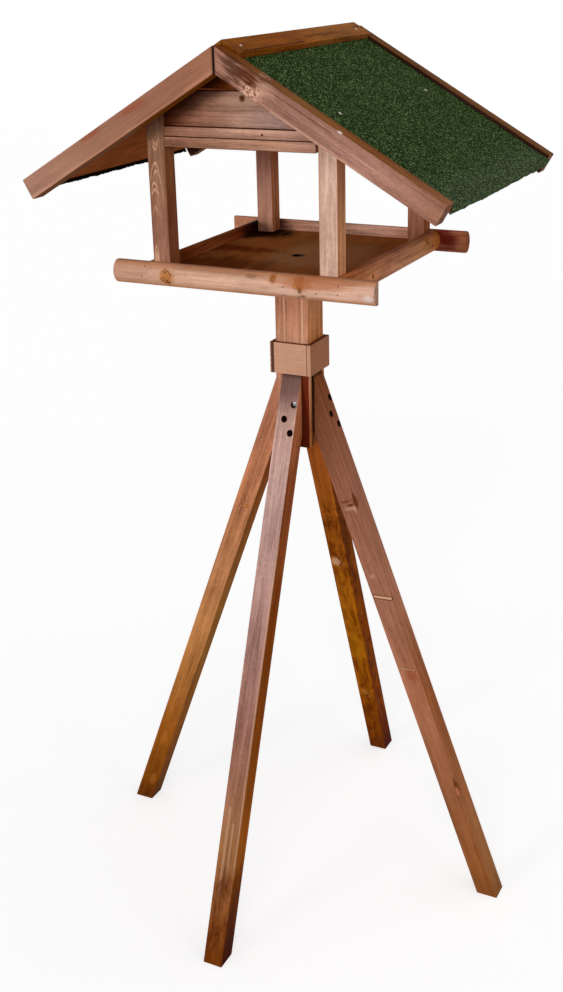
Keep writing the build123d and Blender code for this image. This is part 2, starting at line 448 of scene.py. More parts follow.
def wood_finish(name, node, timber, seed):
    """Stained softwood. The distance from a wandering pith gives the rings, and noise drawn
    out along the grain gives streaks, fibres and thin veins where it crosses its middle.
    Their sum picks a shade between the stain's dark and pale forms."""
    f = Finish(name, Specular_IOR_Level=WOOD_GLOSS)
    centre = middle(node) / MM if timber.centre is None else timber.centre
    g = Grain(f, timber, centre, seed)

    wander = f.noise(f.combine(g.u * 0.005, seed * 1.7, 0)) - 0.5
    drift = f.noise(f.combine(g.u * 0.004, seed * 2.3, 7)) - 0.5
    off_v = g.v - timber.pith[0] + wander * PITH_WANDER - g.u * timber.lean
    off_w = g.w - timber.pith[1] + drift * PITH_WANDER
    radius = (off_v * off_v + off_w * off_w) ** 0.5
    radius, knot_list = knot_shapes(g, timber.knots, radius)

    width = f.noise(f.combine(radius * 0.11, g.u * 0.0015, seed * 3.1), 1, 3, 0.6)
    ring = (radius / timber.ring + width * 3).fraction()
    late_wood = ring.step(0.25, 0.9) * (1 - ring.step(0.94, 1))
    vigour = f.noise(f.combine(g.u * 0.004, g.v * 0.03, g.w * 0.03 + seed * 5)).step(0.3, 0.7)
    dark_vein = (g.drawn_out(0.0035, 0.09, seed * 4, 2, 0.5) - 0.5).bell(0.016)
    pale_vein = (g.drawn_out(0.004, 0.1, seed * 6, 2, 0.5) - 0.53).bell(0.012)

    figure = (g.streak - 0.5) * 1.35 + (g.fibre - 0.5) * 0.55 + (g.fine - 0.5) * 0.45
    figure = figure + (g.cloud - 0.5) * 0.9 + (g.mottle - 0.5) * 0.45 - late_wood * vigour * 0.2
    figure = figure - dark_vein * vigour * 0.08 + pale_vein * (1 - vigour) * 0.16
    amount = 0.55 + figure * timber.figure + (g.speck - 0.5) * timber.speckle
    end_grain = f.facing(timber.along).size().step(0.6, 0.9)
    amount = amount - end_grain * (0.05 + late_wood * 0.25)
    # Paler arrises: wear, with a painted highlight along them.
    if timber.arris is not None:
        half_v, half_w = timber.arris
        wear_and_highlight = ((g.v.size() / half_v) * (g.w.size() / half_w)).clamped() ** 18
        amount = amount + wear_and_highlight * g.streak.step(0.4, 0.7) * 0.3

    low, high = corners(node)
    length = float(np.abs(timber.along) @ (high - low)) / MM
    position = g.u / length + 0.5 + (g.cloud - 0.5) * 0.06
    stain = f.ramp(position, timber.stain)
    # The faces along the edge axis take the edge stain; on the gable boards and battens it is
    # painted shade.
    if timber.edge is not None:
        edge_axis, edge_stain_and_shade = timber.edge
        edge = f.facing(edge_axis).size().step(0.45, 0.8)
        stain = f.mix(edge, stain, f.ramp(position, edge_stain_and_shade))
    color = f.vector("MULTIPLY", stain, f.mix(amount.clamped(), DARK_STAIN, PALE_STAIN))
    height = g.fibre * 0.6 + g.fine * 0.3 + late_wood * 0.25 + g.streak * 0.3
    for kind, halo, core in knot_list:
        halo_color, halo_strength, core_color, core_strength = KNOT_KINDS[kind]
        color = f.mix(halo * halo_strength * (0.4 + g.fibre), color, halo_color)
        color = f.mix(core * core_strength, color, core_color)
        height = height - core * 0.6
    color = g.marked(color, timber.marks)
    roughness = (0.44 + g.fibre * 0.14 + g.cloud * 0.12 + end_grain * 0.15).clamped()
    return f.finish(color, roughness, height, 0.0003)


# ---- pieces

bodies = frame["record"]["behaviour"]["bodies"]
body_of = {node: body for body, members in bodies.items() for node in members}


def put(name, data):
    """Puts a mesh, lamp or camera in the scene as an object."""
    made = bpy.data.objects.new(name, data)
    bpy.context.scene.collection.objects.link(made)
    return made


def add_piece(mesh, material, body, replaced=()):
    """Puts a mesh in the scene as a piece that rides on a body and stands for CAD nodes."""
    piece = put(mesh.name, mesh)
    mesh.materials.append(material)
    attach(piece, body)
    if replaced:
        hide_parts(*replaced)
    return piece


def smooth(mesh):
    """A mesh with every face shaded smooth."""
    mesh.polygons.foreach_set("use_smooth", np.full(len(mesh.polygons), True))
    return mesh


def mesh_of(name, points, faces):
    """A smooth mesh from an array of points in millimetres and a list of faces."""
    mesh = bpy.data.meshes.new(name)
    mesh.from_pydata((np.asarray(points) * MM).tolist(), [], faces)
    mesh.update()
    return smooth(mesh)


def face_out(mesh, merge=False):
    """Turns a mesh's faces outwards, after merging its doubles if asked."""
    shape = bmesh.new()
    shape.from_mesh(mesh)
    if merge:
        bmesh.ops.remove_doubles(shape, verts=shape.verts, dist=0.000001)
        bmesh.ops.dissolve_degenerate(shape, edges=shape.edges, dist=0.000001)
    bmesh.ops.recalc_face_normals(shape, faces=shape.faces)
    shape.to_mesh(mesh)
    shape.free()
    return mesh


def grid_faces(rows, columns, wrap=False):
    """Quads of a grid of rows by columns points, closed round its columns if it wraps."""
    count = columns if wrap else columns - 1
    row, column = np.meshgrid(np.arange(rows - 1), np.arange(count), indexing="ij")
    beside = (column + 1) % columns
    first = row * columns + column
    second = row * columns + beside
    quads = np.stack((first, second, second + columns, first + columns), axis=-1)
    return quads.reshape(-1, 4).tolist()


def eased(node, material, ease):
    """A copy of a CAD timber, merged and flat-faced, with its long arrises rounded over."""
    shape = bmesh.new()
    shape.from_mesh(nodes[node].data)
    bmesh.ops.remove_doubles(shape, verts=shape.verts, dist=0.00001)
    flat = radians(0.5)
    bmesh.ops.dissolve_limit(shape, angle_limit=flat, verts=shape.verts, edges=shape.edges)
    weights = shape.edges.layers.float.new("bevel_weight_edge")
    for edge in shape.edges:
        if len(edge.link_faces) == 2:
            sharp = edge.calc_face_angle() > radians(35)
            edge.smooth = not sharp
            edge[weights] = float(sharp and edge.calc_length() > 4 * MM)
    mesh = bpy.data.meshes.new(f"{node}_timber")
    shape.to_mesh(mesh)
    shape.free()
    piece = add_piece(smooth(mesh), material, body_of[node], [node])
    bevel = piece.modifiers.new("arrises", "BEVEL")
    bevel.limit_method = "WEIGHT"
    bevel.width = ease * MM
    bevel.segments = 2
    bevel.use_clamp_overlap = False
    bevel.harden_normals = True


# ---- timbers

ridge = corners("front_peak_board")[1][2] / MM
barge_front = corners("front_right_barge_board")[0][1] / MM
pole_face = corners("lower_pole")[1][0] / MM
collar_corner = corners("right_collar_board")[0] / MM
leg_top = corners("right_leg")[1][2] / MM
screw_face = pole_face + 14
# How far each screw lies below the top of its leg, and off its middle.
SCREW_SPOTS = ((45, 10), (67.5, -3), (87, 10))
SCREW_BORE = 4.9
BARGE_TOP = 15
CAP_TOP = 20
# The front faces, along Y, of pieces with knots and stains of their own.
LEG_FRONT = -16.5
GABLE_FRONT = -173.5
POST_FRONT = -178.5
RAIL_FRONT = -195.5
# How far a joint across the right leg turns from square, in radians.
JOINT_TURN = -0.3
side_of = {"left": -1, "right": 1}


def slope_point(side, run, level, y):
    """A point of the roof, in millimetres: run down the slope from the ridge, level above
    the underside of the panels and square to it."""
    x = side * (run * cos(PITCH) + level * sin(PITCH))
    return np.array((x, y, ridge - run * sin(PITCH) + level * cos(PITCH)))


def down_slope(side):
    return np.array((side * cos(PITCH), 0, -sin(PITCH)))


def off_slope(side):
    return np.array((side * sin(PITCH), 0, cos(PITCH)))


class LegShape:
    """The lie of a leg: the way it leans out, its axis from foot to top and its middle."""

    def __init__(self, node):
        low, high = corners(node)
        self.out = unit(middle(node) * (1, 1, 0))
        self.side = np.cross(UP, self.out)
        section = abs(np.dot(high - low, self.side))
        self.half = section / 2 / MM
        self.axis = UP * high[2] - self.out * abs(np.dot(high - low, self.out))
        foot = section * np.linalg.norm(self.axis) / high[2]
        self.centre = (middle(node) - self.out * foot / 2) / MM


# The stains of each leg's inner and outer faces, then of the other two, from the foot up.
# Where a leg's stain darkens at its foot, and at the top of the right leg under the collar, it is
# painted shade.
leg_stains = {
    "front": (
        shades(
            215, 48, 1, 310, 127, 47, 320, 147, 108, 400, 215, 183, 550, 340, 295, 465, 270, 218
        ),
        shades(50, 1, 1, 400, 110, 10, 310, 73, 5, 250, 55, 4, 380, 97, 28, 550, 200, 88),
    ),
    "right": (
        shades(420, 170, 55, 430, 155, 60, 450, 145, 50, 520, 210, 120, 430, 170, 100, 240, 65, 16),
        shades(290, 95, 22, 290, 103, 42, 370, 140, 71, 340, 140, 85, 270, 102, 58, 110, 31, 8),
    ),
    "left": (
        shades(155, 42, 2, 350, 115, 18, 410, 165, 30, 360, 130, 26, 320, 95, 18, 320, 90, 14),
        shades(170, 42, 2, 310, 93, 10, 420, 168, 50, 480, 200, 85, 480, 185, 88, 450, 185, 112),
    ),
    "back": (
        shades(195, 39, 2, 320, 85, 2, 350, 107, 3, 330, 94, 6, 300, 76, 12, 250, 48, 8),
        shades(100, 6, 1, 370, 75, 1, 320, 70, 1, 240, 55, 2, 220, 45, 3, 180, 40, 6),
    ),
}
# The stains of the posts and the pole from their feet up, of the gables and the rails from
# left to right, and of the side rails from front to back.
stains = {
    "front_left": shades(330, 148, 95, 260, 115, 72, 285, 140, 80, 335, 168, 102),
    "front_right": shades(630, 410, 310, 640, 400, 300, 690, 440, 335, 700, 440, 330),
    "back_left": shades(410, 200, 125, 500, 250, 180, 320, 130, 72, 420, 220, 150),
    "back_right": shades(330, 130, 70, 370, 170, 108, 360, 170, 110),
    "pole": shades(460, 240, 150, 450, 200, 118, 420, 175, 100, 480, 220, 130),
    # The gable board's dark left end is painted shade, under the left barge.
    "gable": shades(160, 25, 8, 320, 145, 90, 400, 220, 155, 410, 250, 205, 420, 220, 165),
    "peak": shades(340, 78, 13),
    "upper": shades(210, 88, 44, 320, 155, 100, 480, 260, 180, 580, 320, 232, 455, 250, 190),
    "lower": shades(320, 150, 94, 360, 170, 104, 415, 213, 138, 500, 258, 170, 355, 180, 127),
    "front_rail": shades(510, 265, 178, 610, 355, 240, 630, 370, 262, 620, 360, 262),
    # The left rail's near-black back end is painted shade, in the back-left corner.
    "left_rail": shades(340, 120, 40, 250, 58, 10, 480, 140, 40, 270, 55, 10, 50, 3, 1),
    "right_rail": shades(550, 185, 55, 630, 250, 115, 610, 265, 145, 600, 265, 120, 440, 130, 25),
    "back_rail": shades(
        520, 220, 120, 520, 220, 125, 700, 400, 290, 780, 450, 330, 580, 270, 180, 360, 115, 50
    ),
}
knots = {
    "front_rail": [
        ((-117.2, RAIL_FRONT, 1078.5), (0.1, 1, -0.2), 10.5, "gold"),
        ((55, RAIL_FRONT, 1089), (0, 1, 0.1), 5.5, "gold"),
        ((96, RAIL_FRONT, 1084), (0, 1, 0), 8.5, "gold"),
        ((94.4, RAIL_FRONT, 1067), (0, 1, 0), 2.6, "dark"),
    ],
    "front_right_barge_board": [(slope_point(1, 65, -3, barge_front), (0.1, 1, 0), 14, "burr")],
    "front_gable_board": [((5.2, GABLE_FRONT, 1327.1), (0.3, 1, 0), 5.2, "dark")],
    "front_upper_batten": [((36.6, POST_FRONT, 1281), (0, 1, 0), 1.8, "dark")],
    "right_rail": [
        ((163, 125, 1088), (1, 0, 0.3), 6, "gold"),
        ((163, 142, 1078), (1, 0, 0.3), 2.6, "dark"),
        ((163, -95.7, 1079.6), (1, 0, 0.2), 4, "gold"),
    ],
    "left_leg": [((-95.9, LEG_FRONT, 653.4), (0, 1, 0), 3.6, "gold")],
    "back_leg": [
        ((1.3, 143.5, 498.1), (0.2, 1, -0.4), 8, "gold"),
        ((1.1, 270, 155), (0, 1, -0.4), 8, "gold"),
    ],
    "back_right_barge_board": [(slope_point(1, 210, -2, -barge_front), (0.1, 1, 0), 5, "gold")],
}


def under_roof(side, low, high, strength):
    """Painted shade below the underside of a roof slope."""
    return (band(-off_slope(side), (0, 0, ridge), low, high), SHADE, strength)


def barge_marks(node, side):
    """Painted shade under a barge board, its dark mitre, then its face's stains and cracks."""
    if node.startswith("back"):
        # Painted shade: the back barge's inner face, above the felt, near-black.
        return [(on_face(-BACK), (0.02, 0.004, 0.001), 0.9)]
    start = slope_point(side, 0, 0, 0) - middle(node) / MM
    run0, level0 = start @ down_slope(side), start @ off_slope(side)

    def stain(run, level, reach, color, strength, ragged=1):
        return (patch(slope_point(side, run, level, barge_front), reach, ragged), color, strength)

    def crack(level, low, high, width, color, strength):
        line = streak(level + level0, side, width, low + run0, high + run0)
        return (line, color, strength)

    marks = [
        # Painted shade on the barge's underside.
        (on_face(-off_slope(side)), (0.19, 0.052, 0.002), 0.95),
        (plane_line(RIGHT, (0, 0, 0), 2.3), CRACK_AND_SHADE_BLACK, 0.9),
    ]
    if side < 0:
        return marks + [
            stain(226, 12, (22, 5, 5), srgb(150, 66, 36), 0.5),
            stain(143, 9, (30, 6, 5), srgb(156, 74, 44), 0.45),
            crack(-10.9, 60, 150, 0.8, UMBER, 0.5),
        ]
    return marks + [
        stain(44, 16, (46, 14, 9), (0.09, 0.032, 0.015), 0.45, 1.5),
        stain(34, 9, (44, 26, 9), (0.07, 0.022, 0.011), 0.8, 2),
        stain(56, 9, (24, 20, 9), UMBER, 0.85, 1.8),
        stain(84, 4, (16, 11, 5), srgb(206, 158, 134), 0.5, 1.4),
        crack(7.1, 88, 190, 0.7, UMBER, 0.7),
        crack(-3, 95, 260, 0.6, UMBER, 0.35),
        crack(-15.5, 100, 240, 2.2, PALE_SCUFF_AND_HIGHLIGHT, 0.5),
        stain(198, BARGE_TOP, (5, 2, 5), srgb(244, 228, 216), 0.95, 0.3),
    ]


def cap_marks(side):
    """A crack along a ridge cap, the nick at its end and the damp end grain."""
    return [
        (streak(11.5, -1, 1.2, -205, -20), CRACK_AND_SHADE_BLACK, 1),
        (patch(slope_point(side, 13, CAP_TOP, -28), (1.2, 3.5, 3), 0.2), CRACK_AND_SHADE_BLACK, 0.8),
        (band(BACK, (0, -214.2, 0), 2, 22), (0.17, 0.05, 0.012), 0.5),
    ]


def finger_joint(place, reach, gap, strength, turn=0):
    """The end of a finger joint: a pale line of glue between two dark ones, square to the
    grain. Its reach is along, across and through the grain."""
    along, across, through = reach
    return [
        (bar(place, (along + gap, across + 1, through + 1), turn), UMBER, strength),
        (bar(place, reach, turn), PALE_SCUFF_AND_HIGHLIGHT, strength),
    ]


def leg_marks(node, shape):
    """The painted shade of a dark line where a leg meets the pole and of the screw bores, a
    leg's own joints, knots and scuffs, and painted shade darkening its foot."""
    # Painted shade: a dark line on the leg beside the pole, where the two meet.
    marks = [(band(shape.out, shape.out * pole_face, 1.5, 4.5), CRACK_AND_SHADE_BLACK, 0.85)]
    # Painted shade: each screw bore near-black.
    for drop, offset in SCREW_SPOTS:
        spot = shape.out * screw_face + shape.side * offset + UP * (leg_top - drop)
        marks.append((bore(spot, shape.out, SCREW_BORE), CRACK_AND_SHADE_BLACK, 0.93))
    if node == "front_leg":
        marks += [
            # Painted shade under the collar on the top of the front leg's front face.
            (band(-UP, (0, 0, leg_top), 25, 75, -BACK), (0.1, 0.045, 0.04), 0.75),
            *finger_joint((0, -243.3, 324.5), (0.4, 13, 6), 0.9, 0.6),
            # A painted highlight along the front leg's arris, paled too by wear.
            (arris_highlight(shape.half, -shape.half, 2.2, -330, 210), PALE_SCUFF_AND_HIGHLIGHT, 0.75),
            (streak(-5.6, -1, 2.4, -372, -225), PALE_SCUFF_AND_HIGHLIGHT, 0.4),
            (streak(3.6, -1, 2, -350, -250), PALE_SCUFF_AND_HIGHLIGHT, 0.35),
            (swirl(-480, -330), (0.1, 0.016, 0.001), 0.75),
            (patch((-7, -346, 72), (7, 5, 5)), PALE_SCUFF_AND_HIGHLIGHT, 0.45),
            (patch((-9, -354, 42), (16, 5, 5)), HONEY, 0.6),
        ]
    if node == "right_leg":
        marks += finger_joint((150, LEG_FRONT, 532.2), (2.1, 5, 15.5), 1.7, 0.75, JOINT_TURN)
        marks += finger_joint((194, LEG_FRONT, 408.5), (0.9, 5, 14.5), 1, 0.7, JOINT_TURN)
        marks += spots(
            LEG_FRONT,
            (200, 398, (12, 5, 14), (0.3, 0.06, 0.02), 0.5, 1.2),
            (84, 690.5, (2.6, 5, 11), UMBER, 0.7, 0.5),
            (95, 686, (3.4, 5, 9), UMBER, 0.85, 0.5),
            (101.5, 695, (15, 5, 5), UMBER, 0.9, 0.9),
            (92, 680, (3.4, 5, 11), PALE_SCUFF_AND_HIGHLIGHT, 0.3, 1.3),
            (101, 681, (7, 5, 3), PALE_SCUFF_AND_HIGHLIGHT, 0.3, 1.3),
            (131, 567, (5, 5, 7), PALE_SCUFF_AND_HIGHLIGHT, 0.25, 0.9),
            (285, 206, (22, 6, 4.5), UMBER, 0.85),
            (288, 196, (11, 5, 3.4), (0.55, 0.19, 0.09), 0.8, 0.8),
        )
    if node == "back_leg":
        marks += [
            (swirl(-480, 200), (0.09, 0.014, 0.001), 0.8),
            (patch((0, 222, 290), (70, 20, 9), 1.2), (0.4, 0.15, 0.004), 0.4),
            (patch((-7, 143.5, 500), (9, 7, 8), 1.8), PALE_SCUFF_AND_HIGHLIGHT, 0.5),
            (patch((-3, 266, 160), (15, 9, 8), 1.5), (0.5, 0.24, 0.05), 0.55),
        ]
    if node == "left_leg":
        marks += spots(
            LEG_FRONT,
            (-290, 150, (19, 5, 8), HONEY, 0.4, 1.8),
            (-325, 46, (12, 5, 7), HONEY, 0.38, 1.8),
        )
    # Painted shade, darker towards the foot.
    return marks + [(band(UP, (0, 0, 0), 4, 60), SHADE, 0.3)]


def post_marks(node, side):
    """The shade under the roof, and the rings and scuffs on the front posts."""
    marks = [under_roof(side, 3, 24, 0.5)]
    if node == "front_left_post":
        rings = (
            (59, -1, -0.5, 6), (66, 0.5, -0.3, 7), (40.4, -2.6, 0.3, 13),
            (30, -1, 0.34, 12), (12, -5, 0.25, 6), (3, -4, 0.2, 7),
            (-22, -5.5, 0.5, 5), (-78, -7.8, 1.1, 7),
        )
        for top, offset, curve, spread in rings:
            marks.append((arch(top, offset, curve, 1.9, spread), PALE_SCUFF_AND_HIGHLIGHT, 0.85))
        marks += spots(POST_FRONT, (-141, 1100, (14, 4.5, 4), PALE_SCUFF_AND_HIGHLIGHT, 0.6))
    if node == "front_right_post":
        marks += [
            (streak(-12.6, -1, 1.6), (0.4, 0.17, 0.08), 0.6),
            (arch(24, -4, -0.7, 1.6, 4), PALE_SCUFF_AND_HIGHLIGHT, 0.8),
        ]
    return marks


def pole_marks(node):
    """Pale saw lines up the upper pole; painted shade and shadow round the lower one."""
    if node == "upper_pole":
        return [(streak(-12.4, -1, 1.4), PALE_SCUFF_AND_HIGHLIGHT, 0.7), (streak(18.4, -1, 1.4), PALE_SCUFF_AND_HIGHLIGHT, 0.9)]
    return [
        # Painted shade: a dark line where the side legs' front faces meet the pole.
        (plane_line(BACK, (0, LEG_FRONT, 0), 3.2), (0.025, 0.001, 0), 1),
        # Painted shadow of the front leg on the right part of the front face.
        (band(-RIGHT, (pole_face, 0, 0), 26, 40, -BACK), (0.1, 0.006, 0), 0.95),
        # Painted shade below the collar.
        (band(-UP, (0, 0, collar_corner[2]), 0, 60, -BACK), (0.17, 0.03, 0.006), 0.25),
    ]


def collar_marks(node):
    """The joints at the collar's corners, and the shade or light of its side boards."""
    joint = collar_corner[0]
    marks = [(plane_line(RIGHT, (x, 0, 0), 0.9), CRACK_AND_SHADE_BLACK, 0.6) for x in (-joint, joint)]
    if node == "right_collar_board":
        marks.append((on_face(-BACK), (0.57, 0.31, 0.2), 0.8))
    if node == "left_collar_board":
        marks.append((band(-RIGHT, (-pole_face, 0, 0), 4, 5, -BACK), SHADE, 0.85))
    return marks


# Painted shade in the back-left corner, over the tray and the left and back rails.
FAR_CORNER_SHADE = (patch((-130, 146, 1082), (66, 66, 50), 0.5), (0.01, 0.002, 0.001), 0.95)
rail_marks = {
    "front_rail": spots(
        RAIL_FRONT,
        (122, 1088, (84, 13, 20), srgb(184, 108, 62), 0.65),
        (74, 1073, (34, 7, 20), srgb(224, 182, 162), 0.6),
        (100, 1069, (20, 7, 20), srgb(214, 172, 140), 0.5),
        (97, 1076, (4, 6, 20), UMBER, 0.7),
        (101, 1068, (5, 3, 20), UMBER, 0.7),
        (199, 1073, (9, 8, 9), srgb(226, 206, 196), 0.75),
        (105, 1084, (12, 10, 20), srgb(172, 100, 56), 0.5),
        (20, 1091, (9, 4, 9), UMBER, 0.35),
        (-117, 1070, (13, 2, 20), UMBER, 0.6),
    ),
    "left_rail": [FAR_CORNER_SHADE],
    "back_rail": [
        # Painted shade in both back corners: the back-left one, and the back-right one where the
        # right rail meets the back rail.
        FAR_CORNER_SHADE, (patch((172, 178.5, 1080), (34, 22, 22)), (0.15, 0.004, 0.001), 0.9)
    ],
}


def timber_of(node, seed):
    """How a timber was cut and stained, from its node's name."""
    words = node.split("_")
    first = words[0]
    look = {"knots": knots.get(node, ())}
    if "barge" in words:
        side = side_of[words[1]]
        stain = shades(330, 155, 104, 270, 130, 93, 400, 200, 145, 295, 133, 80)
        edge = shades(180, 42, 4, 310, 120, 34, 280, 85, 20, 400, 165, 68)
        look.update(pith=(40 + 3 * seed, 25), ring=3.4, figure=0.8, speckle=0.2)
        if side < 0:
            stain = shades(365, 155, 90, 310, 134, 83, 335, 159, 98, 370, 190, 130)
            look.update(figure=0.35, speckle=0.05)
        if first == "back":
            edge = shades(170, 55, 10, 200, 75, 22)
        look.update(edge=(off_slope(side), edge), arris=(15.5, 12.6), marks=barge_marks(node, side))
        return Timber(down_slope(side), off_slope(side), stain, **look)
    if "cap" in words:
        side = side_of[first]
        stain = shades(310, 90, 7, 315, 82, 8, 305, 106, 21, 330, 115, 30)
        look.update(pith=(10, -45), ring=3.6, figure=1.2, speckle=0.2, marks=cap_marks(side))
        return Timber(BACK, down_slope(side), stain, **look)
    if "leg" in words:
        shape = LegShape(node)
        stain, edge = leg_stains[first]
        look.update(pith=(22 + seed, 30), ring=4.2, lean=0.03, speckle=0.15, centre=shape.centre)
        look.update(figure=0.6 if first == "right" else 0.8, edge=(shape.side, edge))
        look.update(arris=(shape.half, shape.half), marks=leg_marks(node, shape))
        return Timber(shape.axis, shape.side, stain, **look)
    if "post" in words:
        stain = stains["_".join(words[:2])]
        edge = (np.array(stain) * (1.08, 0.79, 0.5)).tolist()
        look.update(pith=(4 + seed % 5, 26), ring=3.2, lean=0.05, figure=0.8, edge=(RIGHT, edge))
        look.update(arris=(14, 14), marks=post_marks(node, side_of[words[1]]))
        return Timber(UP, RIGHT, stain, **look)
    if "pole" in words:
        edge = shades(600, 200, 50, 700, 300, 130, 720, 330, 180)
        look.update(pith=(30, 60), ring=4.5, figure=0.9, edge=(RIGHT, edge), arris=(28, 28))
        return Timber(UP, RIGHT, stains["pole"], marks=pole_marks(node), **look)
    if "collar" in words:
        stain = shades(445, 190, 100) if first == "right" else shades(530, 280, 180)
        look.update(figure=0.22, edge=(UP, shades(200, 70, 30)), marks=collar_marks(node))
        return Timber(BACK if first in side_of else RIGHT, UP, stain, **look)
    if "rail" in words:
        look["marks"] = rail_marks.get(node, ())
        if first in side_of:
            return Timber(BACK, UP, stains[node], pith=(20, 30), **look)
        if first == "front":
            look.update(figure=0.6, speckle=0.08, edge=(UP, shades(550, 250, 135)))
        return Timber(RIGHT, UP, stains[node], pith=(26, 34), ring=5, **look)
    # The dark top and bottom edges of the gable boards and battens are painted shade, under the
    # roof and in the grooves between them.
    look.update(pith=(26 + 2 * seed, 34), ring=3.8, edge=(UP, shades(70, 20, 6)))
    if words[1] in ("gable", "peak"):
        look["marks"] = spots(
            GABLE_FRONT,
            (26, 1324, (56, 9, 9), (0.6, 0.36, 0.24), 0.45, 1.2),
            (5.2, 1327.1, (4.8, 4.6, 9), UMBER, 0.95, 0.35),
        )
        # Painted shadow of the left barge over the gable's left part, and fainter painted shade
        # under the right slope.
        look["marks"] += [under_roof(-1, 6, 32, 0.95), under_roof(1, 2, 10, 0.4)]
    return Timber(RIGHT, UP, stains[words[1]], **look)


# How far a timber's long arrises are rounded over, by the words of its node's name.
EASES = {"batten": 1.9, "collar": 0.9, "leg": 0.45}
unstained = ("felt", "screw", "screws", "panel", "floor")
for number, (node, body) in enumerate(sorted(body_of.items())):
    if node.endswith(unstained):
        continue
    finish = wood_finish(f"stained_{node}", node, timber_of(node, number), float(number))
    ease = next((width for word, width in EASES.items() if word in node), 1.3)
    eased(node, finish, ease)


# ---- plywood


def plywood_finish(name, node, along, normal, stain, marks=()):
    """Stained plywood: long rotary-cut figure on its faces, and thin layers at its edges."""
    f = Finish(name, Specular_IOR_Level=0)
    g = Grain(f, Timber(along, np.cross(normal, along), stain), middle(node) / MM, 1)
    sway = f.noise(f.combine(g.u * 0.006, g.v * 0.01, 0), 1, 2, 0.5, 0.6)
    figure = (sway * 7).fraction().step(0.1, 0.95)
    fibre = g.drawn_out(0.02, 0.5, 1, 4, 0.65)
    amount = 0.55 + (fibre - 0.5) * 0.35 + (g.cloud - 0.5) * 0.7 - figure * 0.13
    layer = (g.w * 0.45 + 0.25).fraction().step(0.35, 0.65)
    amount = amount - layer * (1 - f.facing(normal).size().step(0.4, 0.8)) * 0.2
    color = f.vector("MULTIPLY", stain, f.mix(amount.clamped(), DARK_STAIN, PALE_STAIN))
    color = g.marked(color, marks)
    return f.finish(color, 0.5 + fibre * 0.15, fibre * 0.6 + g.cloud * 0.3, 0.0002)


@marking
def torn_hole(g, radius):
    """1 inside a hole at the middle of a sheet, whose edge is torn."""
    away = g.f.from_line((0, 0, 0), UP) + (g.mottle - 0.5) * 22
    return 1 - away.step(radius, radius + 1)


tray_marks = [
    (patch((35, 10, 1078), (110, 120, 12), 0.9), (0.66, 0.36, 0.17), 0.6),
    (patch((-70, 40, 1078), (90, 40, 12), 0.8), (0.52, 0.17, 0.035), 0.5),
    # Painted shade at the tray's front left and along its left rail.
    (patch((-95, -100, 1078), (75, 110, 12), 0.9), (0.16, 0.03, 0.005), 0.7),
    (patch((-136, 15, 1078), (28, 120, 12), 0.9), (0.16, 0.025, 0.004), 0.75),
    FAR_CORNER_SHADE,
    (torn_hole(12), (0.3, 0.22, 0.17), 0.5),
    # Painted shade: the hole near-black inside its torn edge.
    (torn_hole(8.5), CRACK_AND_SHADE_BLACK, 1),
]
TRAY_STAIN = (0.47, 0.175, 0.048)
PANEL_STAIN = (0.42, 0.12, 0.033)
finish = plywood_finish("stained_tray_ply", "tray_floor", BACK, UP, TRAY_STAIN, tray_marks)
eased("tray_floor", finish, 0.6)
for name, side in side_of.items():
    node = f"{name}_roof_panel"
    finish = plywood_finish(f"stained_{node}", node, BACK, off_slope(side), PANEL_STAIN)
    eased(node, finish, 0.5)
# ---- felt


def felt_finish(name, side):
    """Bitumen felt: green granules, each with a shade of its own, pressed into black. The skin
    that looks inwards is bare."""
    f = Finish(name, Specular_IOR_Level=0.03)
    granule = f.value("ShaderNodeTexVoronoi", {0: f.place, "Scale": 640}, "Color")
    grain = f.noise(f.place, 520, 3, 0.8)
    patch_tone = f.noise(f.place, 14, 4, 0.65)
    fleck = (granule * 0.7 + grain * 0.8).step(0.84, 1.04)
    dark = 1 - (granule * 0.6 + grain).step(0.6, 0.84)
    low = f.reach(down_slope(side), slope_point(side, 0, 0, 0)).step(290, 367)
    color = f.mix(patch_tone.step(0.3, 0.7), (0.012, 0.034, 0.002), (0.017, 0.041, 0.004))
    color = f.mix(low, color, (0.058, 0.086, 0.044))
    color = f.mix(fleck * 0.86, color, (0.31, 0.45, 0.17))
    color = f.mix(dark * 0.95, color, (0.003, 0.012, 0.002))
    bare = (-f.facing(off_slope(side) + down_slope(side))).step(0.2, 0.6)
    color = f.mix(bare, color, (0.006, 0.005, 0.004))
    return f.finish(color, 0.85, granule * 0.6 + grain * 0.8, 0.0012)


# The felt's underside and top above the underside of the panel, and the eave's run.
FELT_LOW, FELT_HIGH = 7.0, 10.0
EAVE_RUN = 367.3


